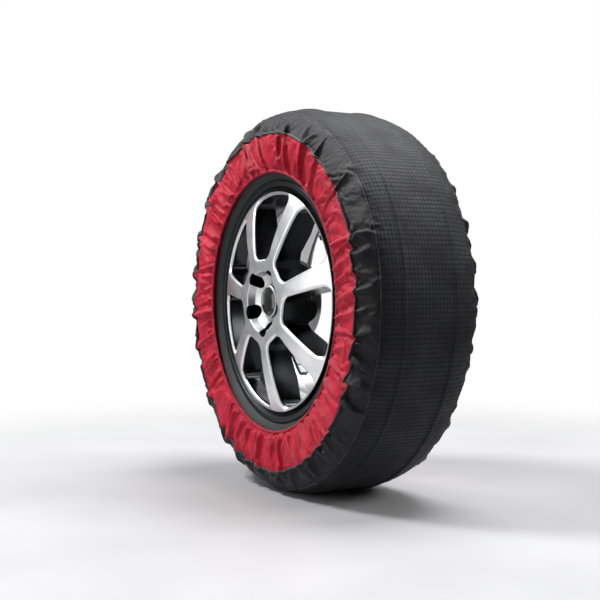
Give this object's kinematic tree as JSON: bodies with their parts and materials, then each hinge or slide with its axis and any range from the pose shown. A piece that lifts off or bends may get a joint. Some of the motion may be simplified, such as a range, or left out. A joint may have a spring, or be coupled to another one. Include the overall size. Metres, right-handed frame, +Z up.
{
  "type": "snow sock tire",
  "caption": "Alloy car wheel and tyre wearing a textile snow sock with a gathered red elastic side, plain shoulder bands and a ribbed woven tread panel.",
  "frame": {"origin": "centre of the wheel, where its turning axis crosses its centre plane", "axes": "+Y along the turning axis towards the car, so the outer face looks along -Y; +Z up"},
  "size_m": [0.6959, 0.2429, 0.6935],
  "materials": {
    "polished_alloy": "polished and clear lacquered",
    "rim_alloy": "machined and lacquered",
    "tyre_rubber": "matt vulcanised rubber",
    "steel": "drawn wire",
    "ply_cloth": "rubbered cord",
    "liner_rubber": "smooth",
    "red_cloth": "satin woven polyester with gathers",
    "black_cloth": "plain woven polyester",
    "tread_weave": "cross ribbed waffle weave",
    "hem_cloth": "rolled hem of the side panel's own satin, bunched",
    "seam_thread": "overlocked thread",
    "elastic": "covered elastic",
    "cap_plastic": "glossy",
    "weight_zinc": "coated",
    "valve_rubber": "smooth",
    "valve_cap_plastic": "moulded",
    "brass": "turned"
  },
  "bodies": {
    "wheel": {"tyre_tread": "tyre_rubber", "tyre_steel_belts": "steel", "tyre_carcass_ply": "ply_cloth", "tyre_inner_liner": "liner_rubber", "tyre_outer_sidewall": "tyre_rubber", "tyre_inner_sidewall": "tyre_rubber", "tyre_outer_bead_wire": "steel", "tyre_inner_bead_wire": "steel", "wheel_rim": "rim_alloy", "wheel_spoke_centre": "polished_alloy", "balance_weights": "weight_zinc", "valve_stem_rubber": "valve_rubber", "valve_stem_tube": "brass", "valve_core_body": "brass", "valve_core_spring": "steel"},
    "sock": {"sock_tread_panel": "tread_weave", "sock_outer_shoulder_band": "black_cloth", "sock_outer_side_panel": "red_cloth", "sock_outer_hem": "hem_cloth", "sock_outer_elastic_cord": "elastic", "sock_outer_seam_piping": "seam_thread", "sock_outer_tread_seam": "seam_thread", "sock_inner_shoulder_band": "black_cloth", "sock_inner_side_panel": "black_cloth", "sock_inner_hem": "hem_cloth", "sock_inner_elastic_cord": "elastic", "sock_inner_seam_piping": "seam_thread", "sock_inner_tread_seam": "seam_thread"},
    "hub_cap": {"centre_cap": "cap_plastic", "centre_cap_clip_ring": "steel"},
    "valve_dust_cap": {"valve_cap": "valve_cap_plastic", "valve_cap_washer": "valve_rubber"},
    "valve_pin": {"valve_core_pin": "brass", "valve_core_seal": "valve_rubber"}
  },
  "joints": [
    {"name": "sock_creep", "type": "hinge", "parent": "wheel", "child": "sock", "pos_m": [0, 0, 0], "axis": [0, 1, 0], "continuous": true},
    {"name": "centre_cap_out", "type": "slide", "parent": "wheel", "child": "hub_cap", "axis": [0, -1, 0], "range_m": [0, 0.04]},
    {"name": "valve_cap_off", "type": "slide", "parent": "wheel", "child": "valve_dust_cap", "axis": [-0.5163, -0.7302, -0.4475], "range_m": [0, 0.025]},
    {"name": "valve_pin_press", "type": "slide", "parent": "wheel", "child": "valve_pin", "axis": [0.5163, 0.7302, 0.4475], "range_m": [0, 0.0012], "stiffness_N_per_m": 1500, "deforming": ["valve_core_spring"]}
  ]
}
